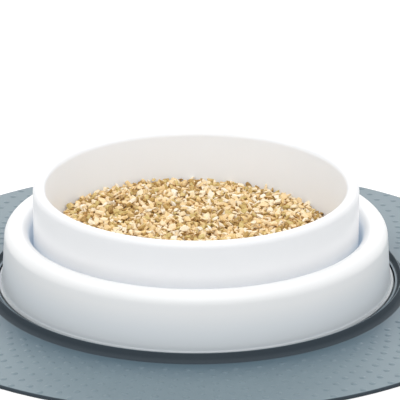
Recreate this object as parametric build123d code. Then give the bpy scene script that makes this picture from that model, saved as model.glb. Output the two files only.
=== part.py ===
from build123d import *
import math
import os

# A round bowl for a cat: a rubber mat with a raised collar, a white holder ring that drops into
# the collar, and a white bowl of dry granules that drops into the ring. Millimetres, +Z up.
# The origin is the middle of the mat's underside, on the floor.

# Rubber mat
MAT_RADIUS = 180.0
MAT_THICKNESS = 2.0
MAT_EDGE_ROUND = 0.5

# Collar of the mat, round the foot of the ring
COLLAR_PLAY = 0.9  # radial gap between the ring's foot and the collar
COLLAR_WIDTH = 3.5  # from the inner wall out to the crest of the lip
COLLAR_HEIGHT = 7.8  # crest above the floor, before it is rounded
COLLAR_SHELF_HEIGHT = 2.4  # of the shelf inside the lip, above the seat
COLLAR_LIP_LEAN = 30.0  # degrees from upright, lip's inner face
COLLAR_LIP_FILLET = 1.5
COLLAR_CREST_ROUND = 0.5
COLLAR_WALL_LEAN = 18.0  # degrees from upright, outer wall
COLLAR_FOOT_FILLET = 3.4
COLLAR_SEAT_FILLET = 0.6

# Holder ring
RING_RADIUS = 107.5  # where the rounded top ends in the skirt
RING_HEIGHT = 35.8  # from the seat in the collar to the top
RING_TOP_ROUND = 7.0
RING_SKIRT_LEAN = 3.6  # degrees from upright
RING_FOOT_HEIGHT = 2.7
RING_FOOT_STEP = 1.9  # how far the foot stands out from the skirt
RING_FOOT_ROUND = 0.5
RING_SKIRT_FILLET = 1.2  # where the skirt runs out into the foot
RING_WALL = 2.4
LEDGE_HEIGHT = 7.0  # top of the ledge above the seat in the collar
LEDGE_WIDTH = 6.5
LEDGE_ROOT_FILLET = 1.2
RIB_COUNT = 12
RIB_THICKNESS = 1.6

# Bowl
BOWL_PLAY = 2.3  # radial gap between the bowl's skirt and the ring
BOWL_HEIGHT = 52.0  # from the ledge to the top of the rim
BOWL_RIM_ROUND = 3.6
BOWL_WALL = 2.4
BOWL_TAPER = 14.6  # degrees from upright, inner wall
BOWL_FLOOR_GAP = 1.5  # underside of the floor above the ledge
BOWL_FLOOR_FILLET = 10.0  # inside, between the wall and the floor
BOWL_SKIRT_ROUND = 0.6

# Granules
FILL_GAP = 0.3  # between the granules and the bowl
FILL_EDGE_DEPTH = 26.3  # from the top of the rim down to the edge of the granules
FILL_CROWN = 3.4  # how far the middle stands above the edge
LUMP_RINGS = 4  # rings of low lumps on the top of the granules, round one in the middle
LUMPS_PER_RING = 6  # in the first ring, and as many more in each further ring
LUMP_SPACING = 16.2
LUMP_RADIUS = 7.4  # across the corners of a six-sided base
LUMP_TOP_RADIUS = 3.0
LUMP_HEIGHT = 1.6
LUMP_SUNK = 0.5  # how far the base reaches below the top of the heap

# Places that follow from the sizes
seat_z = MAT_THICKNESS
ledge_z = seat_z + LEDGE_HEIGHT
ring_round_z = seat_z + RING_HEIGHT - RING_TOP_ROUND
ring_foot_z = seat_z + RING_FOOT_HEIGHT
ring_crest_radius = RING_RADIUS - RING_TOP_ROUND
ring_bore_radius = ring_crest_radius - RING_TOP_ROUND
bowl_radius = ring_bore_radius - BOWL_PLAY
rim_top_z = ledge_z + BOWL_HEIGHT
rim_round_z = rim_top_z - BOWL_RIM_ROUND
rim_round_radius = bowl_radius - BOWL_RIM_ROUND
floor_under_z = ledge_z + BOWL_FLOOR_GAP
floor_top_z = floor_under_z + BOWL_WALL


def at(radius, height):
    """A point of a section, out from the axis and up from the floor."""
    return (radius, 0, height)


def turned(edges):
    """The solid of revolution of one closed section about the vertical axis."""
    return revolve(make_face(Wire(edges)), Axis.Z)


def corner_edges(solid, radius, height):
    """The circular edges of a turned solid that pass through one corner of its section."""
    tolerance = 0.01
    edges = solid.edges().filter_by(GeomType.CIRCLE)
    edges = edges.filter_by(lambda e: abs(e.radius - radius) < tolerance)
    return edges.filter_by(lambda e: abs(e.arc_center.Z - height) < tolerance)


def taper_radius(height, inset):
    """Radius of the bowl's tapered wall at a height, moved inwards by an inset square to it."""
    lean = math.radians(BOWL_TAPER)
    start = rim_round_radius - (BOWL_RIM_ROUND + inset) * math.cos(lean)
    start_z = rim_round_z + (BOWL_RIM_ROUND + inset) * math.sin(lean)
    return start - (start_z - height) * math.tan(lean)


def arch_points(inset):
    """Section points of the ring's skirt, rounded top and bore, moved in by an inset."""
    lean = math.radians(RING_SKIRT_LEAN)
    round_radius = RING_TOP_ROUND - inset
    skirt_top = at(
        ring_crest_radius + round_radius * math.cos(lean),
        ring_round_z + round_radius * math.sin(lean),
    )
    crest = at(ring_crest_radius, ring_round_z + round_radius)
    bore_top = at(ring_crest_radius - round_radius, ring_round_z)
    return skirt_top, crest, bore_top


def skirt_radius(inset, height):
    """Radius of the ring's leaning skirt at a height, moved in by an inset."""
    skirt_top, _, _ = arch_points(inset)
    return skirt_top[0] + (skirt_top[2] - height) * math.tan(math.radians(RING_SKIRT_LEAN))


def foot_radius():
    """Outer radius of the ring's foot, which stands out from the skirt."""
    return skirt_radius(0, ring_foot_z) + RING_FOOT_STEP


def rubber_mat():
    """Flat mat with a raised collar: a seat for the ring's foot, a narrow shelf and a thin lip."""
    inner = foot_radius() + COLLAR_PLAY
    crest = inner + COLLAR_WIDTH
    shelf_z = seat_z + COLLAR_SHELF_HEIGHT
    lip_root = crest - (COLLAR_HEIGHT - shelf_z) * math.tan(math.radians(COLLAR_LIP_LEAN))
    wall_foot = crest + (COLLAR_HEIGHT - seat_z) * math.tan(math.radians(COLLAR_WALL_LEAN))
    outline = [
        Line(at(0, seat_z), at(inner, seat_z)),
        Line(at(inner, seat_z), at(inner, shelf_z)),
        Line(at(inner, shelf_z), at(lip_root, shelf_z)),
        Line(at(lip_root, shelf_z), at(crest, COLLAR_HEIGHT)),
        Line(at(crest, COLLAR_HEIGHT), at(wall_foot, seat_z)),
        Line(at(wall_foot, seat_z), at(MAT_RADIUS, seat_z)),
        Line(at(MAT_RADIUS, seat_z), at(MAT_RADIUS, 0)),
        Line(at(MAT_RADIUS, 0), at(0, 0)),
        Line(at(0, 0), at(0, seat_z)),
    ]
    mat = turned(outline)
    mat = fillet(corner_edges(mat, wall_foot, seat_z), COLLAR_FOOT_FILLET)
    mat = fillet(corner_edges(mat, crest, COLLAR_HEIGHT), COLLAR_CREST_ROUND)
    mat = fillet(corner_edges(mat, lip_root, shelf_z), COLLAR_LIP_FILLET)
    mat = fillet(corner_edges(mat, inner, seat_z), COLLAR_SEAT_FILLET)
    return fillet(corner_edges(mat, MAT_RADIUS, seat_z), MAT_EDGE_ROUND)


def ring_outside():
    """The holder ring as a solid block, with its foot, skirt, rounded top, bore and ledge."""
    foot = foot_radius()
    skirt_top, crest, bore_top = arch_points(0)
    skirt_foot = at(skirt_radius(0, ring_foot_z), ring_foot_z)
    ledge_radius = ring_bore_radius - LEDGE_WIDTH
    ledge_under_z = ledge_z - RING_WALL
    bore_back = ring_bore_radius + RING_WALL
    outline = [
        Line(at(foot, seat_z), at(foot, ring_foot_z)),
        Line(at(foot, ring_foot_z), skirt_foot),
        Line(skirt_foot, skirt_top),
        ThreePointArc(skirt_top, crest, bore_top),
        Line(bore_top, at(ring_bore_radius, ledge_z)),
        Line(at(ring_bore_radius, ledge_z), at(ledge_radius, ledge_z)),
        Line(at(ledge_radius, ledge_z), at(ledge_radius, ledge_under_z)),
        Line(at(ledge_radius, ledge_under_z), at(bore_back, ledge_under_z)),
        Line(at(bore_back, ledge_under_z), at(bore_back, seat_z)),
        Line(at(bore_back, seat_z), at(foot, seat_z)),
    ]
    block = turned(outline)
    block = fillet(corner_edges(block, foot, ring_foot_z), RING_FOOT_ROUND)
    block = fillet(corner_edges(block, skirt_foot[0], ring_foot_z), RING_SKIRT_FILLET)
    return fillet(corner_edges(block, ring_bore_radius, ledge_z), LEDGE_ROOT_FILLET)


def ring_hollow():
    """The space inside the ring, one wall thickness in from its skirt and bore and open below."""
    skirt_top, crest, bore_top = arch_points(RING_WALL)
    skirt_low = at(skirt_radius(RING_WALL, seat_z), seat_z)
    bore_low = at(ring_bore_radius + RING_WALL, seat_z)
    return turned([
        Line(skirt_low, skirt_top),
        ThreePointArc(skirt_top, crest, bore_top),
        Line(bore_top, bore_low),
        Line(bore_low, skirt_low),
    ])


def ring_ribs(hollow):
    """Radial ribs across the hollow, from its roof down to the underside of the ledge."""
    rib_low = ledge_z - RING_WALL
    height = seat_z + RING_HEIGHT - rib_low
    length = 2 * (foot_radius() - ring_crest_radius)
    blank = Box(length, RIB_THICKNESS, height, align=(Align.CENTER, Align.CENTER, Align.MIN))
    places = PolarLocations(ring_crest_radius, RIB_COUNT)
    return [hollow & (place * Pos(0, 0, rib_low) * blank) for place in places]


def holder_ring():
    """White ring: a thin moulded shell, rounded on top, ribbed inside and open below."""
    hollow = ring_hollow()
    return ring_outside() - hollow + ring_ribs(hollow)


def drop_in_bowl():
    """White bowl: a rolled rim between a straight skirt and a tapered cup."""
    lean = math.radians(BOWL_TAPER)
    under_round = BOWL_RIM_ROUND - BOWL_WALL
    skirt_inside = bowl_radius - BOWL_WALL
    rim_inner = at(
        rim_round_radius - BOWL_RIM_ROUND * math.cos(lean),
        rim_round_z + BOWL_RIM_ROUND * math.sin(lean),
    )
    under_inner = at(
        rim_round_radius - under_round * math.cos(lean),
        rim_round_z + under_round * math.sin(lean),
    )
    under_top = at(rim_round_radius, rim_round_z + under_round)
    floor_corner = at(taper_radius(floor_top_z, 0), floor_top_z)
    under_corner = at(taper_radius(floor_under_z, -BOWL_WALL), floor_under_z)
    outline = [
        Line(at(bowl_radius, ledge_z), at(bowl_radius, rim_round_z)),
        ThreePointArc(at(bowl_radius, rim_round_z), at(rim_round_radius, rim_top_z), rim_inner),
        Line(rim_inner, floor_corner),
        Line(floor_corner, at(0, floor_top_z)),
        Line(at(0, floor_top_z), at(0, floor_under_z)),
        Line(at(0, floor_under_z), under_corner),
        Line(under_corner, under_inner),
        ThreePointArc(under_inner, under_top, at(skirt_inside, rim_round_z)),
        Line(at(skirt_inside, rim_round_z), at(skirt_inside, ledge_z)),
        Line(at(skirt_inside, ledge_z), at(bowl_radius, ledge_z)),
    ]
    bowl = turned(outline)
    bowl = fillet(corner_edges(bowl, floor_corner[0], floor_top_z), BOWL_FLOOR_FILLET)
    bowl = fillet(corner_edges(bowl, under_corner[0], floor_under_z), BOWL_FLOOR_FILLET + BOWL_WALL)
    return fillet(corner_edges(bowl, bowl_radius, ledge_z), BOWL_SKIRT_ROUND)


def granule_fill():
    """The heap of granules, a small gap inside the bowl, with a low crown and a lumpy top."""
    low_z = floor_top_z + FILL_GAP
    edge_z = rim_top_z - FILL_EDGE_DEPTH
    low_corner = at(taper_radius(low_z, FILL_GAP), low_z)
    edge_radius = taper_radius(edge_z, FILL_GAP)
    dome_radius = (edge_radius**2 + FILL_CROWN**2) / (2 * FILL_CROWN)
    dome_middle_z = edge_z + FILL_CROWN - dome_radius

    def dome_z(radius):
        return dome_middle_z + math.sqrt(dome_radius**2 - radius**2)

    half_way = edge_radius / 2
    heap = turned([
        Line(at(0, low_z), low_corner),
        Line(low_corner, at(edge_radius, edge_z)),
        ThreePointArc(at(edge_radius, edge_z), at(half_way, dome_z(half_way)), at(0, dome_z(0))),
        Line(at(0, dome_z(0)), at(0, low_z)),
    ])
    heap = fillet(corner_edges(heap, low_corner[0], low_z), BOWL_FLOOR_FILLET - FILL_GAP)
    return heap + granule_lumps(dome_z)


def granule_lumps(dome_z):
    """Low six-sided lumps in rings on the top of the heap."""
    sides = 6
    base = Pos(0, 0, -LUMP_SUNK) * RegularPolygon(LUMP_RADIUS, sides)
    top = Pos(0, 0, LUMP_HEIGHT) * RegularPolygon(LUMP_TOP_RADIUS, sides)
    lump = loft([base, top])
    lumps = [Pos(0, 0, dome_z(0)) * lump]
    for ring in range(1, LUMP_RINGS + 1):
        radius = ring * LUMP_SPACING
        for place in PolarLocations(radius, ring * LUMPS_PER_RING):
            lumps.append(place * Pos(0, 0, dome_z(radius)) * lump)
    return lumps


def write_parts():
    """Write one STEP file for each piece."""
    os.makedirs("parts", exist_ok=True)
    pieces = {
        "rubber_mat": rubber_mat(),
        "holder_ring": holder_ring(),
        "drop_in_bowl": drop_in_bowl(),
        "granule_fill": granule_fill(),
    }
    for name, piece in pieces.items():
        export_step(piece, f"parts/{name}.step")
        print(name, round(piece.volume), "cubic mm,", len(piece.solids()), "solid")


write_parts()
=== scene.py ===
"""Looks of a round bowl of dry granules that stands in a holder ring on a rubber grip mat.

Sizes are in millimetres, angles in degrees, and the meshes and the stage in metres. The frame's three
bodies are mat, ring and bowl.
"""
import logging
import math
from dataclasses import dataclass
from enum import Enum
from functools import cache
from random import Random
from typing import Any, Callable, ClassVar, Union

import bmesh
import bpy
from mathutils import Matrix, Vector, noise


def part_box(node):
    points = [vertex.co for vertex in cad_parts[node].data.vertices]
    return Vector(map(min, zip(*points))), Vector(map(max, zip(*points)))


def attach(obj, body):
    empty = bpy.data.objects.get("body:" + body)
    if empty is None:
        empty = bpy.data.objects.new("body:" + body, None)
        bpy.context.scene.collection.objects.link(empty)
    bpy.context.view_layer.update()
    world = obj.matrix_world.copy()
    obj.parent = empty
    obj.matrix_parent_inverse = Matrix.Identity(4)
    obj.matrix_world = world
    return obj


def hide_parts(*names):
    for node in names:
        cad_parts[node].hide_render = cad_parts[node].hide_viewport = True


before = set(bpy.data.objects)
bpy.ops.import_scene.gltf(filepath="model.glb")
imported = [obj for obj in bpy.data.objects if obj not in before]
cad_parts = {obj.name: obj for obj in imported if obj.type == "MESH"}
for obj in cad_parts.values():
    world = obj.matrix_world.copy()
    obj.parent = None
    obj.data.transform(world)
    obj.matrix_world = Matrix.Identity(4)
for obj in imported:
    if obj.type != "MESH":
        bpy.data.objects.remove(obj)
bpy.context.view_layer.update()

MM = 0.001
LOG = logging.getLogger("bowl")

Span = tuple[float, float]
Place = tuple[float, float, float]
Colour = tuple[float, float, float]
Number = Union["Val", float, int]
Method = Callable[["Val", Number], "Val"]
WHITE: Colour = (1.0, 1.0, 1.0)
BLACK: Colour = (0.0, 0.0, 0.0)

# Step of a rounded corner's arc, and the distance of the loop beside the arc, in millimetres.
ARC_STEP = math.radians(7.5)
LOOP_GAP = 0.35
# A corner with a shorter reach stays sharp, and a side with a shorter straight gets no loops.
LEAST_REACH = LOOP_GAP / 4
LEAST_SIDE = LOOP_GAP * 4
# Places closer than this count as one, in millimetres.
NEAR = 0.0035
# Steps round a turned piece, and the least angle at which its shading breaks.
AROUND = 256
SHARP_ANGLE = math.radians(40)


class Body(Enum):
    """Bodies of the frame that the pieces ride on."""

    MAT = "mat"
    RING = "ring"
    BOWL = "bowl"


class Slot(Enum):
    """Material slots of the record."""

    RUBBER = "mat_rubber"
    RING = "white_ring_plastic"
    BOWL = "white_bowl_plastic"
    GRANULES = "granules"


def operators(operation: str) -> tuple[Method, Method]:
    """Make the plain and the reflected form of an operator, each of which adds a Math node.

    Args:
        operation: the Math node's operation.

    Returns:
        The method for a value on the left, and the one for a value on the right.
    """

    def plain(value: "Val", other: Number) -> "Val":
        """The value comes first."""
        return value.graph.maths(operation, value, other)

    def reflected(value: "Val", other: Number) -> "Val":
        """The value comes second."""
        return value.graph.maths(operation, other, value)

    return plain, reflected


class Val:
    """An output socket that works in arithmetic: an expression adds its Math nodes."""

    __add__, __radd__ = operators("ADD")
    __sub__, __rsub__ = operators("SUBTRACT")
    __mul__, __rmul__ = operators("MULTIPLY")
    __truediv__, __rtruediv__ = operators("DIVIDE")
    __mod__, __rmod__ = operators("MODULO")

    def __init__(self, graph: "Graph", socket: bpy.types.NodeSocket) -> None:
        """Wrap one output socket of a graph."""
        self.graph = graph
        self.socket = socket

    def ramp(self, low: float, high: float) -> "Val":
        """Smooth step from 0 at low to 1 at high, which may be the lesser."""
        settings = {"interpolation_type": "SMOOTHSTEP"}
        return self.graph.node("ShaderNodeMapRange", settings, {0: self, 1: low, 2: high})

    def ramp_mm(self, low: float, high: float) -> "Val":
        """Smooth step of a length, between two lengths in millimetres."""
        return self.ramp(low * MM, high * MM)


class Graph:
    """A node tree that is built by name and value."""

    def __init__(self, tree: bpy.types.NodeTree) -> None:
        """Start on an emptied tree."""
        self.tree = tree
        tree.nodes.clear()

    def node(
        self,
        kind: str,
        settings: dict[str, Any] | None = None,
        inputs: dict[str | int, Any] | None = None,
        output: str | None = None,
    ) -> Val:
        """Add one node.

        Args:
            kind: the node's type.
            settings: properties, set first; "stops" holds a ramp's (place, colour) pairs.
            inputs: values or links, by socket name or number.
            output: name of the output that is returned, or None for the first.

        Returns:
            The chosen output.
        """
        made = self.tree.nodes.new(kind)
        for name, value in (settings or {}).items():
            if name == "stops":
                self._set_stops(made.color_ramp, value)
            else:
                setattr(made, name, value)
        for key, value in (inputs or {}).items():
            socket = made.inputs[key] if isinstance(key, int) else self._enabled(made.inputs, key)
            if isinstance(value, Val):
                self.tree.links.new(value.socket, socket)
            else:
                socket.default_value = value
        return Val(self, self._enabled(made.outputs, output) if made.outputs else None)

    def maths(self, operation: str, *terms: Number) -> Val:
        """Add a Math node with these inputs, in order."""
        return self.node("ShaderNodeMath", {"operation": operation}, dict(enumerate(terms)))

    @staticmethod
    def _enabled(sockets: Any, name: str | None) -> bpy.types.NodeSocket:
        """First socket in use, of that name where one is given."""
        return next(s for s in sockets if s.enabled and name in (None, s.name))

    @staticmethod
    def _set_stops(ramp: bpy.types.ColorRamp, stops: list[tuple[float, Colour]]) -> None:
        """Give a ramp its stops.

        Args:
            ramp: the ramp, with its first two stops.
            stops: place, from 0 to 1, and colour of each stop.
        """
        while len(ramp.elements) < len(stops):
            ramp.elements.new(1.0)
        for element, (place, colour) in zip(ramp.elements, stops):
            element.position = place
            element.color = (*colour, 1.0)


class SurfaceGraph(Graph):
    """The nodes of a material."""

    def __init__(self, name: str) -> None:
        """Make a new material with an empty tree.

        Args:
            name: name of the material.
        """
        self.material = bpy.data.materials.new(name)
        self.material.use_nodes = True
        super().__init__(self.material.node_tree)

    def place(self) -> Val:
        """Place on the object, in metres."""
        return self.node("ShaderNodeTexCoord", output="Object")

    def parts(self, vector: Val) -> tuple[Val, Val, Val]:
        """X, Y and Z of a vector."""
        split = self.node("ShaderNodeSeparateXYZ", inputs={0: vector}).socket.node
        return tuple(Val(self, socket) for socket in split.outputs)

    def facing_up(self) -> Val:
        """Z of the surface's own normal: 1 on top faces and 0 on upright walls."""
        return self.parts(self.node("ShaderNodeTexCoord", output="Normal"))[2]

    def from_axis(self) -> Val:
        """Distance from the upright axis.

        Returns:
            The distance in metres.
        """
        across = {"operation": "MULTIPLY"}
        flat = self.node("ShaderNodeVectorMath", across, {0: self.place(), 1: (1.0, 1.0, 0.0)})
        return self.node("ShaderNodeVectorMath", {"operation": "LENGTH"}, {0: flat}, "Value")

    def noise(self, grain: float, detail: float) -> Val:
        """Noise from 0 to 1, with a grain in millimetres and a number of finer layers."""
        inputs = {"Vector": self.place(), "Scale": 1 / (grain * MM), "Detail": detail}
        return self.node("ShaderNodeTexNoise", inputs=inputs)

    def mix(self, factor: Number, low: Colour | Val, high: Colour | Val, blend: str = "MIX") -> Val:
        """Blend two colours.

        Args:
            factor: share of the second colour.
            low: first colour.
            high: second colour.
            blend: how they are blended.

        Returns:
            The colour.
        """
        settings = {"data_type": "RGBA", "blend_type": blend}
        ends = [c if isinstance(c, Val) else (*c, 1.0) for c in (low, high)]
        return self.node("ShaderNodeMix", settings, {"Factor": factor, "A": ends[0], "B": ends[1]})

    def product(self, one: Colour | Val, other: Colour | Val) -> Val:
        """Product of two colours."""
        return self.mix(1.0, one, other, "MULTIPLY")

    def bump(self, height: Val, distance: float, strength: float) -> Val:
        """Normal bumped by a height from 0 to 1, which stands for a distance in millimetres."""
        inputs = {"Height": height, "Distance": distance * MM, "Strength": strength}
        return self.node("ShaderNodeBump", inputs=inputs)

    def shade(self, sockets: dict[str, Any]) -> bpy.types.Material:
        """End the tree in the surface shader, with these values and links, and give the material."""
        self.end(self.node("ShaderNodeBsdfPrincipled", inputs=sockets))
        return self.material

    def end(self, shader: Val) -> None:
        """Link a shader to the material's output."""
        self.node("ShaderNodeOutputMaterial", inputs={"Surface": shader})


class PatternGraph(Graph):
    """A Geometry Nodes tree with named inputs, whose result is kept as a plain mesh."""

    GEOMETRY: ClassVar[str] = "Geometry"
    FINISH: ClassVar[str] = "Finish"

    def __init__(self, name: str, sizes: dict[str, str]) -> None:
        """Make the tree and its inputs.

        Args:
            name: name of the tree.
            sizes: the type of each named input, such as Float or Int.
        """
        super().__init__(bpy.data.node_groups.new(name, "GeometryNodeTree"))
        face = self.tree.interface
        kinds = {self.GEOMETRY: "Geometry", self.FINISH: "Material", **sizes}
        self.keys = {
            key: face.new_socket(name=key, in_out="INPUT", socket_type=f"NodeSocket{kind}").identifier
            for key, kind in kinds.items()
        }
        face.new_socket(name=self.GEOMETRY, in_out="OUTPUT", socket_type="NodeSocketGeometry")
        self.entry = self.node("NodeGroupInput").socket.node

    def given(self, name: str) -> Val:
        """A named input of the tree."""
        return Val(self, self.entry.outputs[name])

    def vector(self, x: Number, y: Number, z: Number) -> Val:
        """A vector from its three parts."""
        return self.node("ShaderNodeCombineXYZ", inputs={0: x, 1: y, 2: z})

    def random(self, kind: str, low: Any, high: Any, seed: Number) -> Val:
        """A random value of a kind, from low to high, for each point or instance."""
        inputs = {"Min": low, "Max": high, "Seed": seed}
        return self.node("FunctionNodeRandomValue", {"data_type": kind}, inputs)

    def end(self, instances: Val) -> None:
        """Realize the instances, give them the finish and end the tree.

        Args:
            instances: what the tree has made.
        """
        real = self.node("GeometryNodeRealizeInstances", inputs={"Geometry": instances})
        inputs = {"Geometry": real, "Material": self.given(self.FINISH)}
        dressed = self.node("GeometryNodeSetMaterial", inputs=inputs)
        self.node("NodeGroupOutput", inputs={0: dressed})

    def run(self, name: str, base: bpy.types.Object, values: dict[str, Any]) -> bpy.types.Object:
        """Evaluate the tree on an object and keep its result.

        Args:
            name: name of the new piece.
            base: object that the tree takes its geometry from, which is then removed.
            values: value of each named input.

        Returns:
            The new piece, a plain mesh at the origin.
        """
        modifier = base.modifiers.new(name, "NODES")
        modifier.node_group = self.tree
        for key, value in values.items():
            modifier[self.keys[key]] = value
        graph = bpy.context.evaluated_depsgraph_get()
        mesh = bpy.data.meshes.new_from_object(base.evaluated_get(graph))
        base.modifiers.remove(modifier)
        bpy.data.objects.remove(base)
        mesh.name = name
        return shown(name, mesh)


@dataclass(frozen=True)
class Corner:
    """A corner of a turned section, rounded to a radius."""

    out: float
    up: float
    round: float = 0.0


def rounded(corners: list[Corner]) -> list[Vector]:
    """Points of a closed section, with tangent arcs at its corners and loops beside them.

    Args:
        corners: the section's corners, in order.

    Returns:
        The points, out from the axis and up, in millimetres.
    """
    places = [Vector((corner.out, corner.up)) for corner in corners]
    befores, afters = places[-1:] + places[:-1], places[1:] + places[:1]
    sides = [(before - place, after - place) for before, place, after in zip(befores, places, afters)]
    turns = [math.pi - back.angle(ahead) for back, ahead in sides]
    reaches = [corner.round * math.tan(turn / 2) for corner, turn in zip(corners, turns)]
    points: list[Vector] = []
    for index, (here, (back, ahead)) in enumerate(zip(places, sides)):
        turn, reach, size = turns[index], reaches[index], corners[index].round
        if reach < LEAST_REACH:
            points.append(here)
            continue
        out, on = back.normalized(), ahead.normalized()
        if back.length - reach - reaches[index - 1] > LEAST_SIDE:
            points.append(here + out * (reach + LOOP_GAP))
        centre = here + (out + on).normalized() * (size / math.cos(turn / 2))
        spoke = here + out * reach - centre
        side = 1.0 if back.x * ahead.y - back.y * ahead.x < 0 else -1.0
        steps = max(2, math.ceil(turn / ARC_STEP))
        for step in range(steps + 1):
            angle = side * turn * step / steps
            cos, sin = math.cos(angle), math.sin(angle)
            points.append(centre + Vector((spoke.x * cos - spoke.y * sin, spoke.x * sin + spoke.y * cos)))
        if ahead.length - reach - reaches[(index + 1) % len(reaches)] > LEAST_SIDE:
            points.append(here + on * (reach + LOOP_GAP))
    return [point for index, point in enumerate(points) if (point - points[index - 1]).length > NEAR]


def shown(name: str, data: bpy.types.ID) -> bpy.types.Object:
    """Put a mesh, a lamp or a camera into the scene.

    Args:
        name: name of the object.
        data: what the object shows.

    Returns:
        The object, at the origin.
    """
    made = bpy.data.objects.new(name, data)
    bpy.context.scene.collection.objects.link(made)
    return made


def kept(name: str, shape: bmesh.types.BMesh) -> bpy.types.Mesh:
    """Keep a shape as a mesh and free it.

    Args:
        name: name of the mesh.
        shape: the shape.

    Returns:
        The mesh.
    """
    mesh = bpy.data.meshes.new(name)
    shape.to_mesh(mesh)
    shape.free()
    return mesh


def circle(radius: float, up: float, steps: int) -> list[Vector]:
    """Evenly spaced places round the upright axis, at a radius and a height."""
    angles = [2 * math.pi * step / steps for step in range(steps)]
    return [Vector((radius * math.cos(a), radius * math.sin(a), up)) for a in angles]


def turned(name: str, points: list[Vector], around: int = AROUND) -> bpy.types.Object:
    """Turn a closed section about the upright axis.

    Args:
        name: name of the piece.
        points: the section, out from the axis and up, in millimetres.
        around: steps around the axis.

    Returns:
        The piece, closed and with its faces outwards.
    """
    shape = bmesh.new()
    rings = []
    for point in points:
        places = circle(point.x, point.y, 1 if point.x < NEAR else around)
        rings.append([shape.verts.new(place * MM) for place in places])
    for low, high in zip(rings, rings[1:] + rings[:1]):
        if len(low) == 1 and len(high) == 1:
            continue
        for step in range(around):
            after = (step + 1) % around
            below = [low[step % len(low)], low[after % len(low)]]
            above = [high[after % len(high)], high[step % len(high)]]
            shape.faces.new(list(dict.fromkeys(below + above)))
    bmesh.ops.recalc_face_normals(shape, faces=shape.faces)
    for face in shape.faces:
        face.smooth = True
    mesh = kept(name, shape)
    mesh.set_sharp_from_angle(angle=SHARP_ANGLE)
    return shown(name, mesh)


def dress(
    piece: bpy.types.Object,
    body: Body,
    slot: Slot,
    finish: bpy.types.Material | None,
    *nodes: str,
) -> None:
    """Give a piece its finish and its body, and hide the CAD nodes that it stands for.

    Args:
        piece: the finished mesh.
        body: body that it rides on.
        slot: material slot of its finish; not used.
        finish: its material, or None where it has one already.
        nodes: CAD nodes that it replaces.
    """
    if finish:
        piece.data.materials.clear()
        piece.data.materials.append(finish)
    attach(piece, body.value)
    if nodes:
        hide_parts(*nodes)
    triangles = sum(len(face.vertices) - 2 for face in piece.data.polygons)
    LOG.info("%s rides on %s: %d triangles", piece.name, body.value, triangles)


@cache
def node_radius(node: str) -> float:
    """Outer radius of a round CAD node, in millimetres."""
    low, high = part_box(node)
    return min(-low.x, -low.y, high.x, high.y) / MM


@cache
def node_heights(node: str) -> tuple[float, float]:
    """Lowest and highest point of a CAD node, in millimetres."""
    low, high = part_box(node)
    return low.z / MM, high.z / MM


# In the finishes, a noise is its grain in millimetres and its detail, a bump its height in millimetres
# and its strength, a reach the lengths in millimetres at which a mask is 0 and 1, a facing the upward
# parts of the normal at which a mask is 0 and 1, and a painted foot shade a height in millimetres and a
# colour.


@dataclass(frozen=True)
class Rubber:
    """Grey-blue moulded rubber: matt, with a sheen on faces that look up, and painted shade on walls and
    near the collar.
    """

    top: Colour = (0.122, 0.180, 0.212)
    # Painted shade: the top is darkened by this colour near the collar, fading out across the collar
    # reach.
    painted_shade_near_collar: Colour = (0.62, 0.70, 0.76)
    collar_reach: Span = (118.0, 150.0)
    # Painted shade: colour of faces that turn from up, on the collar's wall, the mat's edge and the dots'
    # sides.
    wall: Colour = (0.015, 0.028, 0.040)
    level_facing: Span = (0.94, 0.999)
    field_facing: Span = (0.78, 0.97)
    field_reach: Span = (121.0, 122.0)
    cloud_noise: Span = (38.0, 3.0)
    grain_noise: Span = (0.9, 2.0)
    grain_bump: Span = (0.05, 0.35)
    tone: float = 0.93
    cloud_tone: float = 0.10
    grain_tone: float = 0.04
    roughness: float = 0.62
    grain_roughness: float = 0.10
    top_gloss: float = 0.16
    sheen: float = 0.35
    sheen_roughness: float = 0.38

    def material(self) -> bpy.types.Material:
        """Build the finish.

        Returns:
            The material.
        """
        g = SurfaceGraph("grip_rubber")
        facing = g.facing_up()
        # Painted shade mask: 1 on level faces and 0 on walls, softer on the dotted field so the dot sides
        # darken less.
        level = facing.ramp(*self.level_facing)
        field = g.from_axis().ramp_mm(*self.field_reach)
        up = level + field * (facing.ramp(*self.field_facing) - level)
        cloud = g.noise(*self.cloud_noise)
        grain = g.noise(*self.grain_noise)
        # Painted shade on the top near the collar.
        away = g.from_axis().ramp_mm(*self.collar_reach)
        top = g.product(self.top, g.mix(away, self.painted_shade_near_collar, WHITE))
        # Painted shade: the more a face turns from up, the more it takes the dark wall colour.
        shade = g.mix(up, self.wall, top)
        tone = self.tone + cloud * self.cloud_tone + grain * self.grain_tone
        grey = g.node("ShaderNodeCombineColor", inputs={0: tone, 1: tone, 2: tone})
        return g.shade(
            {
                "Base Color": g.product(shade, grey),
                "Roughness": self.roughness + grain * self.grain_roughness - up * self.top_gloss,
                "Coat Weight": up * self.sheen,
                "Coat Roughness": self.sheen_roughness,
                "Normal": g.bump(grain, *self.grain_bump),
            }
        )


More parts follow.
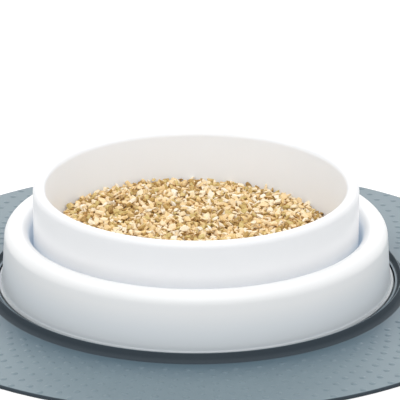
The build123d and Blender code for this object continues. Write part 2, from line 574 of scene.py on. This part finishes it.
@dataclass(frozen=True)
class WhitePlastic:
    """White moulded plastic with a soft gloss, painted shade at the foot, painted light in the cup and a
    painted gap glow.
    """

    name: str
    colour: Colour = (0.86, 0.87, 0.88)
    warm_scale: Colour = (1.0, 0.995, 0.985)
    # Painted shade: colours by height that darken the skirt towards its foot, darkest on the flange.
    painted_foot_shades: tuple[tuple[float, Colour], ...] = (
        (4.8, (0.40, 0.43, 0.45)),
        (5.5, (0.85, 0.90, 0.935)),
        (16.0, (0.91, 0.94, 0.965)),
        (27.0, WHITE),
    )
    # Painted light: scales the colour inside the cup, fully inside the cup reach; white leaves it as it
    # is.
    painted_cup_light: Colour = WHITE
    cup_reach: Span = (86.5, 84.5)
    # Painted light: a bluish glow on faces near the gap radius, below the top of the gap, as light in the
    # narrow gap.
    painted_gap_light: Colour = (0.080, 0.100, 0.125)
    gap_radius: float = 92.9
    gap_reach: Span = (3.8, 1.9)
    gap_height_reach: Span = (37.2, 31.0)
    peel_noise: Span = (2.6, 1.0)
    cloud_noise: Span = (45.0, 2.0)
    peel_bump: Span = (0.03, 0.25)
    roughness: float = 0.27
    cloud_roughness: float = 0.05

    def material(self) -> bpy.types.Material:
        """Build the finish.

        Returns:
            The material.
        """
        g = SurfaceGraph(self.name)
        peel = g.noise(*self.peel_noise)
        cloud = g.noise(*self.cloud_noise)
        warm = tuple(part * scale for part, scale in zip(self.colour, self.warm_scale))
        out = g.from_axis()
        # Painted light inside the cup.
        cup = g.mix(out.ramp_mm(*self.cup_reach), WHITE, self.painted_cup_light)
        aside = g.maths("ABSOLUTE", out - self.gap_radius * MM).ramp_mm(*self.gap_reach)
        height = g.parts(g.place())[2]
        low = height.ramp_mm(*self.gap_height_reach)
        # Painted shade by height, from the foot up to the last height, where it is white.
        top = self.painted_foot_shades[-1][0]
        stops = [(up / top, shade) for up, shade in self.painted_foot_shades]
        place = {"Fac": height / (top * MM)}
        shade = g.node("ShaderNodeValToRGB", {"stops": stops}, place, "Color")
        tint = g.product(shade, cup)
        return g.shade(
            {
                "Base Color": g.product(g.mix(cloud, self.colour, warm), tint),
                # Painted light: the glow in the gap.
                "Emission Color": g.mix(aside * low, BLACK, self.painted_gap_light),
                "Emission Strength": 1.0,
                "Roughness": self.roughness + cloud * self.cloud_roughness,
                "Normal": g.bump(peel, *self.peel_bump),
            }
        )


@dataclass(frozen=True)
class Granules:
    """Dry flaky granules, from cream through straw to a few brown and green ones."""

    chip_stops: tuple[tuple[float, Colour], ...] = (
        (0.00, (0.330, 0.190, 0.055)),
        (0.10, (0.550, 0.345, 0.115)),
        (0.20, (0.600, 0.475, 0.185)),
        (0.34, (0.820, 0.590, 0.280)),
        (0.60, (0.915, 0.715, 0.430)),
        (0.85, (0.930, 0.795, 0.565)),
        (1.00, (0.950, 0.885, 0.750)),
    )
    chip_noise: Span = (0.7, 2.0)
    chip_contrast: float = 0.35
    chip_roughness: float = 0.85
    chip_bump: Span = (0.15, 0.6)
    # Painted shade: the bed is darker and browner than the flakes, for the shade in the gaps between
    # them.
    bed_dark: Colour = (0.30, 0.17, 0.055)
    bed_light: Colour = (0.60, 0.34, 0.11)
    bed_noise: Span = (1.6, 2.0)
    bed_contrast: Span = (0.35, 0.65)
    bed_roughness: float = 0.9
    bed_bump: Span = (0.8, 0.8)

    def chips(self) -> bpy.types.Material:
        """Build the finish of the loose granules, which differ by their tint.

        Returns:
            The material.
        """
        g = SurfaceGraph("granule_flakes")
        tint = g.node("ShaderNodeAttribute", {"attribute_name": "tint"}, output="Fac")
        speck = g.noise(*self.chip_noise)
        place = {"Fac": tint + (speck - 0.5) * self.chip_contrast}
        return g.shade(
            {
                "Base Color": g.node("ShaderNodeValToRGB", {"stops": self.chip_stops}, place, "Color"),
                "Roughness": self.chip_roughness,
                "Normal": g.bump(speck, *self.chip_bump),
            }
        )

    def heap(self) -> bpy.types.Material:
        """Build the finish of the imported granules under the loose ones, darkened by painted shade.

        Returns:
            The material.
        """
        g = SurfaceGraph("granule_bed")
        speck = g.noise(*self.bed_noise)
        return g.shade(
            {
                "Base Color": g.mix(speck.ramp(*self.bed_contrast), self.bed_dark, self.bed_light),
                "Roughness": self.bed_roughness,
                "Normal": g.bump(speck, *self.bed_bump),
            }
        )


@dataclass(frozen=True)
class PaperFloor:
    """Pale matt floor that reads white to the camera and keeps the object's shadow."""

    colour: Colour = (0.88, 0.88, 0.88)
    lift: float = 0.25

    def material(self) -> bpy.types.Material:
        """Build the finish.

        Returns:
            The material.
        """
        g = SurfaceGraph("studio_floor")
        matt = g.node("ShaderNodeBsdfDiffuse", inputs={"Color": (*self.colour, 1.0)})
        seen = g.node("ShaderNodeLightPath", output="Is Camera Ray")
        glow = g.node("ShaderNodeEmission", inputs={"Strength": seen * self.lift})
        g.end(g.node("ShaderNodeAddShader", inputs={0: matt, 1: glow}))
        return g.material


def polar_pattern() -> PatternGraph:
    """Build a tree that repeats its geometry in rings about the upright axis, every other one offset.

    Returns:
        The tree.
    """
    floats = ("First radius", "Ring pitch", "Phase")
    sizes = {"Rings": "Int", "Per ring": "Int", **dict.fromkeys(floats, "Float")}
    g = PatternGraph("polar_pattern", sizes)
    per_ring = g.given("Per ring")
    count = g.given("Rings") * per_ring
    index = g.node("GeometryNodeInputIndex")
    ring = g.maths("FLOOR", index / per_ring)
    share = (index % per_ring + ring % 2 * 0.5) / per_ring
    turn = share * (2 * math.pi) + g.given("Phase")
    radius = g.given("First radius") + ring * g.given("Ring pitch")
    cos, sin = g.maths("COSINE", turn), g.maths("SINE", turn)
    place = g.vector(radius * cos, radius * sin, 0.0)
    points = g.node("GeometryNodePoints", inputs={"Count": count, "Position": place})
    inputs = {"Points": points, "Instance": g.given(g.GEOMETRY), "Rotation": g.vector(0.0, 0.0, turn)}
    g.end(g.node("GeometryNodeInstanceOnPoints", inputs=inputs))
    return g


def scatter_pattern() -> PatternGraph:
    """Build a tree that strews the shapes of a collection over its geometry, at random.

    Returns:
        The tree.
    """
    floats = ("Spacing", "Lift", "Smallest", "Largest", "Tilt")
    sizes = {"Shapes": "Collection", **dict.fromkeys(floats, "Float"), "Seed": "Int"}
    g = PatternGraph("scatter_pattern", sizes)
    seed = g.given("Seed")
    # The spacing alone limits the density, and an index past the last shape starts again.
    dense, last_index = 1e6, 1000
    inputs = {
        "Mesh": g.given(g.GEOMETRY),
        "Distance Min": g.given("Spacing"),
        "Density Max": dense,
        "Seed": seed,
    }
    settings = {"distribute_method": "POISSON"}
    points = g.node("GeometryNodeDistributePointsOnFaces", settings, inputs, "Points")
    up = g.vector(0.0, 0.0, g.given("Lift") * g.random("FLOAT", -1.0, 1.0, seed + 1))
    points = g.node("GeometryNodeSetPosition", inputs={"Geometry": points, "Offset": up})
    inputs = {"Collection": g.given("Shapes"), "Separate Children": True, "Reset Children": True}
    shapes = g.node("GeometryNodeCollectionInfo", inputs=inputs)
    lean = g.given("Tilt")
    turn = g.vector(
        g.random("FLOAT", -1.0, 1.0, seed + 2) * lean,
        g.random("FLOAT", -1.0, 1.0, seed + 3) * lean,
        g.random("FLOAT", 0.0, 2 * math.pi, seed + 4),
    )
    inputs = {
        "Points": points,
        "Instance": shapes,
        "Pick Instance": True,
        "Instance Index": g.random("INT", 0, last_index, seed + 5),
        "Rotation": turn,
        "Scale": g.random("FLOAT", g.given("Smallest"), g.given("Largest"), seed + 6),
    }
    flakes = g.node("GeometryNodeInstanceOnPoints", inputs=inputs)
    tint = g.random("FLOAT", 0.0, 1.0, seed + 7)
    settings = {"data_type": "FLOAT", "domain": "INSTANCE"}
    inputs = {"Geometry": flakes, "Name": "tint", "Value": tint}
    g.end(g.node("GeometryNodeStoreNamedAttribute", settings, inputs))
    return g


@dataclass
class GripMat:
    """Rubber mat with a collar round the ring's foot and rings of round grip dots."""

    pattern: PatternGraph
    finish: bpy.types.Material
    thickness: float = 2.0
    edge_round: float = 1.0
    collar_play: float = 0.9
    collar_width: float = 3.5
    collar_height: float = 7.8
    shelf_height: float = 2.4
    lip_lean: float = 30.0
    lip_fillet: float = 1.5
    crest_round: float = 0.5
    wall_lean: float = 18.0
    foot_fillet: float = 3.4
    seat_fillet: float = 0.6
    dot_radius: float = 2.0
    dot_height: float = 0.42
    dot_sunk: float = 0.15
    dot_levels: int = 4
    dot_sides: int = 12
    dot_rings: int = 12
    dots_per_ring: int = 62
    first_ring: float = 126.3
    ring_pitch: float = 4.6
    dot_phase: float = 1.15

    def section(self) -> list[Vector]:
        """Draw the closed section of the mat and its collar.

        Returns:
            The section's points.
        """
        inner = node_radius("holder_ring") + self.collar_play
        crest = inner + self.collar_width
        shelf = self.thickness + self.shelf_height
        lip_run = (self.collar_height - shelf) * math.tan(math.radians(self.lip_lean))
        wall_run = (self.collar_height - self.thickness) * math.tan(math.radians(self.wall_lean))
        rim = node_radius("rubber_mat")
        corners = [
            Corner(0.0, self.thickness),
            Corner(inner, self.thickness, self.seat_fillet),
            Corner(inner, shelf),
            Corner(crest - lip_run, shelf, self.lip_fillet),
            Corner(crest, self.collar_height, self.crest_round),
            Corner(crest + wall_run, self.thickness, self.foot_fillet),
            Corner(rim, self.thickness, self.edge_round),
            Corner(rim, 0.0),
            Corner(0.0, 0.0),
        ]
        return rounded(corners)

    def dot(self) -> bpy.types.Object:
        """Make one low round dot, sunk a little into the mat.

        Returns:
            The dot, on the axis.
        """
        low, high = self.thickness - self.dot_sunk, self.thickness + self.dot_height
        spread = math.atan(self.dot_height / self.dot_radius) * 2
        cap = self.dot_radius / math.sin(spread)
        angles = [spread * (1 - level / self.dot_levels) for level in range(self.dot_levels)]
        arc = [Vector((cap * math.sin(a), high - cap * (1 - math.cos(a)))) for a in angles]
        section = [Vector((0.0, low)), Vector((self.dot_radius, low)), *arc, Vector((0.0, high))]
        return turned("dot", section, self.dot_sides)

    def build(self) -> None:
        """Make the mat and its dots."""
        sheet = turned("rubber_mat_sheet", self.section())
        dress(sheet, Body.MAT, Slot.RUBBER, self.finish, "rubber_mat")
        values = {
            "Rings": self.dot_rings,
            "Per ring": self.dots_per_ring,
            "First radius": self.first_ring * MM,
            "Ring pitch": self.ring_pitch * MM,
            "Phase": math.radians(self.dot_phase),
            PatternGraph.FINISH: self.finish,
        }
        dots = self.pattern.run("rubber_mat_grip_dots", self.dot(), values)
        dress(dots, Body.MAT, Slot.RUBBER, None)


@dataclass
class HolderRing:
    """White moulded ring: rounded top, leaning skirt, foot, ledge, and ribs inside."""

    pattern: PatternGraph
    finish: bpy.types.Material
    wall: float = 2.4
    foot_height: float = 2.7
    foot_round: float = 0.5
    top_round: float = 7.0
    crest_radius: float = 100.5
    skirt_lean: float = 3.6
    skirt_fillet: float = 1.2
    ledge_height: float = 7.0
    ledge_width: float = 6.5
    ledge_round: float = 0.4
    ledge_fillet: float = 1.2
    rib_count: int = 12
    rib_thickness: float = 1.6

    def arch(self, inset: float) -> tuple[Corner, Corner, float]:
        """Top corners of the arch, moved in by an inset, and the skirt's radius there.

        Args:
            inset: distance inside the ring's outer face.

        Returns:
            The outer and the inner top corner, and the outer corner's radius.
        """
        high = node_heights("holder_ring")[1]
        round_off = self.top_round - inset
        spread = math.tan(math.radians(90 - self.skirt_lean) / 2)
        outer = self.crest_radius + round_off * spread
        inner = self.crest_radius - round_off
        return Corner(outer, high - inset, round_off), Corner(inner, high - inset, round_off), outer

    def skirt(self, inset: float, up: float) -> float:
        """Radius of the skirt at a height, moved in by an inset."""
        outer, _, radius = self.arch(inset)
        return radius + (outer.up - up) * math.tan(math.radians(self.skirt_lean))

    def section(self) -> list[Vector]:
        """Draw the closed section of the shell.

        Returns:
            The section's points.
        """
        foot = node_radius("holder_ring")
        seat = node_heights("holder_ring")[0]
        step = seat + self.foot_height
        ledge = seat + self.ledge_height
        outer, inner, _ = self.arch(0.0)
        roof_outer, roof_inner, _ = self.arch(self.wall)
        bore = inner.out
        corners = [
            Corner(foot, seat),
            Corner(foot, step, self.foot_round),
            Corner(self.skirt(0.0, step), step, self.skirt_fillet),
            outer,
            inner,
            Corner(bore, ledge, self.ledge_fillet),
            Corner(bore - self.ledge_width, ledge, self.ledge_round),
            Corner(bore - self.ledge_width, ledge - self.wall, self.ledge_round),
            Corner(bore + self.wall, ledge - self.wall),
            roof_inner,
            roof_outer,
            Corner(self.skirt(self.wall, seat), seat),
        ]
        return rounded(corners)

    def rib(self) -> bpy.types.Object:
        """Make one upright rib that fills the hollow from its roof to the ledge's underside.

        Returns:
            The rib, moved in to the axis.
        """
        low = node_heights("holder_ring")[0] + self.ledge_height - self.wall
        roof_outer, roof_inner, _ = self.arch(self.wall)
        foot = Corner(self.skirt(self.wall, low), low)
        outline = rounded([Corner(roof_inner.out, low), roof_inner, roof_outer, foot])
        middle = Vector((self.crest_radius, 0.0))
        half = self.rib_thickness / 2
        shape = bmesh.new()
        sides = []
        for side in (-half, half):
            places = [Vector(((p - middle).x, side, p.y)) * MM for p in outline]
            sides.append([shape.verts.new(place) for place in places])
            shape.faces.new(sides[-1])
        near, far = sides
        for index in range(len(outline)):
            shape.faces.new((near[index - 1], near[index], far[index], far[index - 1]))
        bmesh.ops.recalc_face_normals(shape, faces=shape.faces)
        return shown("rib", kept("rib", shape))

    def build(self) -> None:
        """Make the shell and its ribs."""
        shell = turned("holder_ring_shell", self.section())
        dress(shell, Body.RING, Slot.RING, self.finish, "holder_ring")
        values = {
            "Rings": 1,
            "Per ring": self.rib_count,
            "First radius": self.crest_radius * MM,
            "Ring pitch": 0.0,
            "Phase": 0.0,
            PatternGraph.FINISH: self.finish,
        }
        ribs = self.pattern.run("holder_ring_ribs", self.rib(), values)
        dress(ribs, Body.RING, Slot.RING, None)


@dataclass
class DropInBowl:
    """White moulded bowl: a rolled rim between a straight skirt and a tapered cup."""

    finish: bpy.types.Material
    wall: float = 2.4
    rim_round: float = 3.6
    taper: float = 14.6
    floor_gap: float = 1.5
    floor_fillet: float = 10.0
    skirt_round: float = 0.6

    def inner_radius(self, up: float, inset: float = 0.0) -> float:
        """Radius of the cup's wall at a height, moved inwards by an inset square to it.

        Args:
            up: height in the frame.
            inset: distance inside the wall's inner face.

        Returns:
            The radius.
        """
        lean = math.radians(self.taper)
        high = node_heights("drop_in_bowl")[1]
        round_out = node_radius("drop_in_bowl") - self.rim_round
        out = round_out - (self.rim_round + inset) * math.cos(lean)
        start = high - self.rim_round + (self.rim_round + inset) * math.sin(lean)
        return out - (start - up) * math.tan(lean)

    def floor_up(self) -> float:
        """Height of the floor inside the cup."""
        return node_heights("drop_in_bowl")[0] + self.floor_gap + self.wall

    def section(self) -> list[Vector]:
        """Draw the closed section of the bowl.

        Returns:
            The section's points.
        """
        low, high = node_heights("drop_in_bowl")
        skirt = node_radius("drop_in_bowl")
        spread = math.tan(math.radians(90 - self.taper) / 2)
        round_out = skirt - self.rim_round
        under_round = self.rim_round - self.wall
        top_up = high - self.wall
        floor_up = self.floor_up()
        under_up = floor_up - self.wall
        corners = [
            Corner(skirt, low, self.skirt_round),
            Corner(skirt, high, self.rim_round),
            Corner(round_out - self.rim_round * spread, high, self.rim_round),
            Corner(self.inner_radius(floor_up), floor_up, self.floor_fillet),
            Corner(0.0, floor_up),
            Corner(0.0, under_up),
            Corner(self.inner_radius(under_up, -self.wall), under_up, self.floor_fillet + self.wall),
            Corner(round_out - under_round * spread, top_up, under_round),
            Corner(skirt - self.wall, top_up, under_round),
            Corner(skirt - self.wall, low),
        ]
        return rounded(corners)

    def build(self) -> None:
        """Make the bowl."""
        shell = turned("drop_in_bowl_shell", self.section())
        dress(shell, Body.BOWL, Slot.BOWL, self.finish, "drop_in_bowl")


@dataclass(frozen=True)
class Layer:
    """A layer of flakes: spacing, lift above the heap, least and greatest scale, and stray up or down."""

    name: str
    spacing: float
    lift: float
    smallest: float
    largest: float
    stray: float = 0.45


@dataclass
class GranuleHeap:
    """Heap of dry granules: a lumpy bed under two layers of loose flakes."""

    bowl: DropInBowl
    pattern: PatternGraph
    finish: Granules
    gap: float = 0.4
    sunk: float = 1.6
    edge_depth: float = 26.3
    crown: float = 3.4
    lump_rings: int = 4
    lumps_per_ring: int = 6
    lump_spacing: float = 16.2
    lump_height: float = 1.6
    unevenness: float = 0.5
    noise_level: float = 7.0
    noise_falloff: float = 0.6
    noise_scale: float = 2.1
    noise_layers: int = 3
    lean: float = 0.034
    wall_gap: float = 1.6
    bed_rings: int = 26
    bed_around: int = 128
    surface_rings: int = 30
    surface_around: int = 96
    shapes: int = 10
    shape_halves: tuple[Span, Span, Span] = ((1.5, 2.3), (1.1, 1.7), (0.55, 1.05))
    shape_points: int = 15
    shape_power: float = 0.7
    shape_wobble: Span = (0.75, 1.1)
    tilt: float = 0.9
    seed: int = 47
    layer_seeds: int = 20
    layers: tuple[Layer, ...] = (
        Layer("lower", 2.1, -0.4, 0.7, 1.15),
        Layer("upper", 3.4, 0.8, 0.75, 1.5),
    )

    def edge_up(self) -> float:
        """Height of the heap where it meets the bowl."""
        return node_heights("drop_in_bowl")[1] - self.edge_depth

    def height(self, x: float, y: float, edge: float) -> float:
        """Height of the heap's surface above a place.

        Args:
            x: place across, in millimetres.
            y: place along, in millimetres.
            edge: radius of the heap.

        Returns:
            The height in millimetres.
        """
        away = math.hypot(x, y)
        dome = self.crown * (1 - min(1.0, away / edge) ** 2)
        place = Vector((x, y, self.noise_level)) / self.lump_spacing
        rough = noise.fractal(place, self.noise_falloff, self.noise_scale, self.noise_layers)
        return self.edge_up() + dome + self.lump(x, y) + rough * self.unevenness - x * self.lean

    def lump(self, x: float, y: float) -> float:
        """Height of the nearest lump above a place. The lumps stand in rings, six more in each.

        Args:
            x: place across, in millimetres.
            y: place along, in millimetres.

        Returns:
            The height in millimetres, 0 between the lumps.
        """
        away = math.hypot(x, y)
        ring = min(self.lump_rings, round(away / self.lump_spacing))
        pitch = 2 * math.pi / max(1, ring * self.lumps_per_ring)
        turn = round(math.atan2(y, x) / pitch) * pitch
        radius = ring * self.lump_spacing
        off = math.hypot(x - radius * math.cos(turn), y - radius * math.sin(turn))
        share = max(0.0, 1 - (2 * off / self.lump_spacing) ** 2)
        return self.lump_height * share

    def bed(self) -> bpy.types.Object:
        """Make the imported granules, closed and a small gap inside the bowl.

        Returns:
            The bed.
        """
        low = self.bowl.floor_up() + self.gap
        edge_up = self.edge_up() - self.sunk
        edge = self.bowl.inner_radius(edge_up, self.gap)
        below = [
            Corner(0.0, low),
            Corner(self.bowl.inner_radius(low, self.gap), low, self.bowl.floor_fillet - self.gap),
            Corner(edge, edge_up),
        ]
        outline = rounded([*below, Corner(0.0, edge_up)])[:-1]
        shares = [1 - step / self.bed_rings for step in range(1, self.bed_rings + 1)]
        top = [Vector((edge * share, edge_up)) for share in shares]
        bed = turned("granule_bed", [*outline, *top], self.bed_around)
        for vertex in bed.data.vertices:
            x, y, z = vertex.co / MM
            if abs(z - edge_up) > NEAR:
                continue
            inside = math.hypot(x, y) < edge - NEAR
            up = self.height(x, y, edge) - self.sunk if inside else edge_up - x * self.lean
            reach = 1.0 if inside else self.bowl.inner_radius(up, self.gap) / edge
            vertex.co = Vector((x * reach, y * reach, up)) * MM
        return bed

    def surface(self, name: str, lift: float) -> bpy.types.Object:
        """Make the heap's upper surface, on which the flakes are strewn.

        Args:
            name: name of the surface.
            lift: its height above the heap, in millimetres.

        Returns:
            The surface.
        """
        edge = self.bowl.inner_radius(self.edge_up(), self.wall_gap)
        shape = bmesh.new()
        rings, around = self.surface_rings, self.surface_around
        centre = shape.verts.new((0.0, 0.0, 0.0))
        loops = []
        for ring in range(1, rings + 1):
            places = circle(edge * ring / rings, 0.0, around)
            loops.append([shape.verts.new(place) for place in places])
        for step in range(around):
            after = (step + 1) % around
            shape.faces.new((centre, loops[0][step], loops[0][after]))
            for inner, outer in zip(loops, loops[1:]):
                shape.faces.new((inner[step], outer[step], outer[after], inner[after]))
        for vertex in shape.verts:
            x, y, _ = vertex.co
            vertex.co = Vector((x, y, self.height(x, y, edge) + lift)) * MM
        return shown(name, kept(name, shape))

    def flakes(self) -> bpy.types.Collection:
        """Make the irregular flake shapes, each a hull of a few points.

        Returns:
            The collection of the shapes.
        """
        group = bpy.data.collections.new("flakes")
        dice = Random(self.seed)
        for number in range(self.shapes):
            size = [dice.uniform(*span) for span in self.shape_halves]
            shape = bmesh.new()
            for _ in range(self.shape_points):
                way = Vector([dice.gauss(0, 1) for _ in range(3)]).normalized()
                squared = Vector([math.copysign(abs(part) ** self.shape_power, part) for part in way])
                wobble = dice.uniform(*self.shape_wobble)
                shape.verts.new([part * half * wobble * MM for part, half in zip(squared, size)])
            hull = bmesh.ops.convex_hull(shape, input=shape.verts)
            loose = [v for v in hull["geom_interior"] if isinstance(v, bmesh.types.BMVert)]
            bmesh.ops.delete(shape, geom=loose, context="VERTS")
            bmesh.ops.recalc_face_normals(shape, faces=shape.faces)
            name = f"flake_{number}"
            group.objects.link(bpy.data.objects.new(name, kept(name, shape)))
        return group

    def build(self) -> None:
        """Make the bed and the loose flakes."""
        dress(self.bed(), Body.BOWL, Slot.GRANULES, self.finish.heap(), "granule_fill")
        group = self.flakes()
        chips = self.finish.chips()
        for order, layer in enumerate(self.layers):
            values = {
                "Shapes": group,
                "Spacing": layer.spacing * MM,
                "Lift": layer.stray * MM,
                "Smallest": layer.smallest,
                "Largest": layer.largest,
                "Tilt": self.tilt,
                "Seed": self.seed + self.layer_seeds * order,
                PatternGraph.FINISH: chips,
            }
            base = self.surface(f"granule_surface_{layer.name}", layer.lift - self.sunk / 2)
            piece = self.pattern.run(f"granules_{layer.name}", base, values)
            dress(piece, Body.BOWL, Slot.GRANULES, None)


@dataclass(frozen=True)
class Softbox:
    """A soft rectangular lamp: its place and size in metres, and its power in watts."""

    name: str
    place: Place
    size: Span
    watts: float


@dataclass
class Studio:
    """Floor, lamps, surround and the camera of the photograph, all in metres but the lens."""

    elevation: float = 20.98
    distance: float = 2.460
    lens: float = 396.0
    clip_end: float = 60.0
    aim: Place = (0.0022, 0.0, 0.0512)
    floor_half: float = 12.0
    floor_gap: float = 0.0002
    ambient: float = 0.70
    lamps: tuple[Softbox, ...] = (
        Softbox("overhead_softbox", (0.0, 0.3, 2.2), (4.6, 2.0), 24.0),
        Softbox("rear_softbox", (0.0, 2.6, 1.3), (3.4, 1.2), 18.0),
        Softbox("front_softbox", (0.0, -2.0, 2.2), (4.2, 1.6), 29.0),
    )

    def camera(self) -> None:
        """Set up the camera at the photograph's angle."""
        data = bpy.data.cameras.new("camera")
        data.lens = self.lens
        data.clip_end = self.clip_end
        camera = shown("camera", data)
        tilt = math.radians(self.elevation)
        back = Vector((0.0, -math.cos(tilt), math.sin(tilt)))
        camera.location = Vector(self.aim) + back * self.distance
        camera.rotation_euler = (math.pi / 2 - tilt, 0.0, 0.0)
        bpy.context.scene.camera = camera

    def floor(self) -> None:
        """Lay the plain pale floor."""
        half, low = self.floor_half, -self.floor_gap
        mesh = bpy.data.meshes.new("floor")
        corners = [(-half, -half, low), (half, -half, low), (half, half, low), (-half, half, low)]
        mesh.from_pydata(corners, [], [(0, 1, 2, 3)])
        mesh.materials.append(PaperFloor().material())
        shown("floor", mesh)

    def lamp(self, box: Softbox) -> None:
        """Make one lamp that points at the object.

        Args:
            box: the lamp's name, place, size and power.
        """
        data = bpy.data.lights.new(box.name, "AREA")
        data.shape = "RECTANGLE"
        data.size, data.size_y = box.size
        data.energy = box.watts
        lamp = shown(box.name, data)
        lamp.location = box.place
        lamp.rotation_euler = (Vector(self.aim) - Vector(box.place)).to_track_quat("-Z", "Y").to_euler()
        lamp.visible_camera = False

    def surround(self) -> None:
        """Set up a surround that is white to the camera and in reflections and lights the rest evenly."""
        world = bpy.data.worlds.new("surround")
        bpy.context.scene.world = world
        world.use_nodes = True
        g = Graph(world.node_tree)
        path = g.node("ShaderNodeLightPath").socket.node
        names = ("Is Camera Ray", "Is Glossy Ray", "Is Transmission Ray")
        camera, glossy, through = (Val(g, path.outputs[name]) for name in names)
        seen = g.maths("MAXIMUM", camera, g.maths("MAXIMUM", glossy, through))
        level = self.ambient + seen * (1.0 - self.ambient)
        sky = g.node("ShaderNodeBackground", inputs={"Color": (*WHITE, 1.0), "Strength": level})
        g.node("ShaderNodeOutputWorld", inputs={"Surface": sky})

    def build(self) -> None:
        """Set up the stage."""
        self.camera()
        self.floor()
        self.surround()
        for box in self.lamps:
            self.lamp(box)
        bpy.context.scene.view_settings.view_transform = "Standard"


def main() -> None:
    """Build the stage and the four sub-assemblies."""
    logging.basicConfig(level=logging.INFO, format="%(message)s")
    Studio().build()
    polar = polar_pattern()
    GripMat(polar, Rubber().material()).build()
    HolderRing(polar, WhitePlastic("white_ring_plastic").material()).build()
    # The bowl's plastic: a little bluer, with painted light inside the cup and a weaker painted glow at
    # the gap.
    bowl_white = WhitePlastic(
        "white_bowl_plastic",
        colour=(0.852, 0.862, 0.882),
        painted_cup_light=(1.018, 1.033, 1.050),
        painted_gap_light=(0.010, 0.018, 0.028),
    )
    bowl = DropInBowl(bowl_white.material())
    bowl.build()
    GranuleHeap(bowl, scatter_pattern(), Granules()).build()


if __name__ == "__main__":
    main()
